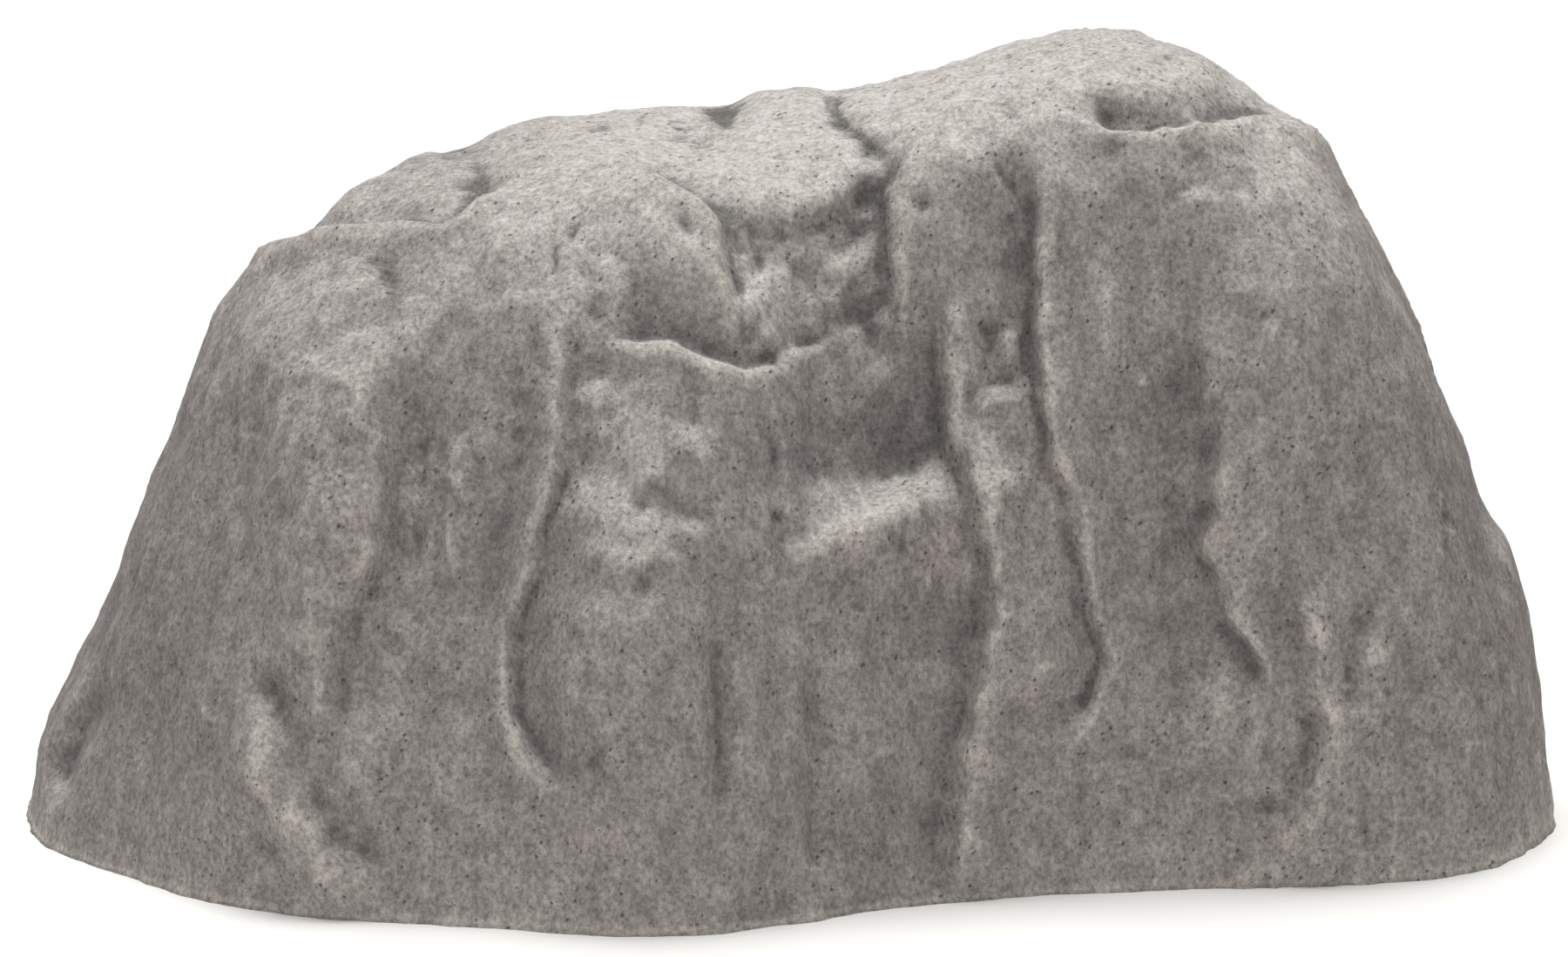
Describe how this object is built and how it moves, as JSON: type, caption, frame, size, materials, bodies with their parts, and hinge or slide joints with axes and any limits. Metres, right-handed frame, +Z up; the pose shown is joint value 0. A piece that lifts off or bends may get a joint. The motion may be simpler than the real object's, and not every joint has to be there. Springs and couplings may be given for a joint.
{
  "type": "artificial pond boulder",
  "caption": "Hollow stone-faced resin boulder that stands over a pond pump, with a rear cave mouth for hoses, louvre vents and sliding ground stakes.",
  "frame": {"origin": "on the ground, under the middle of the boulder", "axes": "+X along the length, to the right as the show face is seen; +Y to the rear; +Z up"},
  "size_m": [0.9992, 0.6182, 0.5176],
  "materials": {
    "stone_resin": "matte",
    "laminate": "satin",
    "rubber": "matte",
    "vent_plastic": "satin",
    "steel_mesh": "satin",
    "galvanised_steel": "satin"
  },
  "bodies": {
    "shell": {"rock_shell": "stone_resin", "base_flange": "laminate", "roof_rib_left": "laminate", "roof_rib_middle": "laminate", "roof_rib_right": "laminate", "mouth_trim": "rubber", "vent_left": "vent_plastic", "vent_right": "vent_plastic", "vent_gasket_left": "rubber", "vent_gasket_right": "rubber", "vent_screen_left": "steel_mesh", "vent_screen_right": "steel_mesh", "stake_lug_1": "stone_resin", "stake_lug_2": "stone_resin", "stake_lug_3": "stone_resin", "stake_lug_4": "stone_resin", "stake_bush_1": "galvanised_steel", "stake_bush_2": "galvanised_steel", "stake_bush_3": "galvanised_steel", "stake_bush_4": "galvanised_steel"},
    "stake_1": {"ground_stake_1": "galvanised_steel"},
    "stake_2": {"ground_stake_2": "galvanised_steel"},
    "stake_3": {"ground_stake_3": "galvanised_steel"},
    "stake_4": {"ground_stake_4": "galvanised_steel"}
  },
  "joints": [
    {"name": "stake_slide_1", "type": "slide", "parent": "shell", "child": "stake_1", "axis": [0, 0, 1], "range_m": [-0.1125, 0.03]},
    {"name": "stake_slide_2", "type": "slide", "parent": "shell", "child": "stake_2", "axis": [0, 0, 1], "range_m": [-0.1125, 0.03]},
    {"name": "stake_slide_3", "type": "slide", "parent": "shell", "child": "stake_3", "axis": [0, 0, 1], "range_m": [-0.1125, 0.03]},
    {"name": "stake_slide_4", "type": "slide", "parent": "shell", "child": "stake_4", "axis": [0, 0, 1], "range_m": [-0.1125, 0.03]}
  ]
}
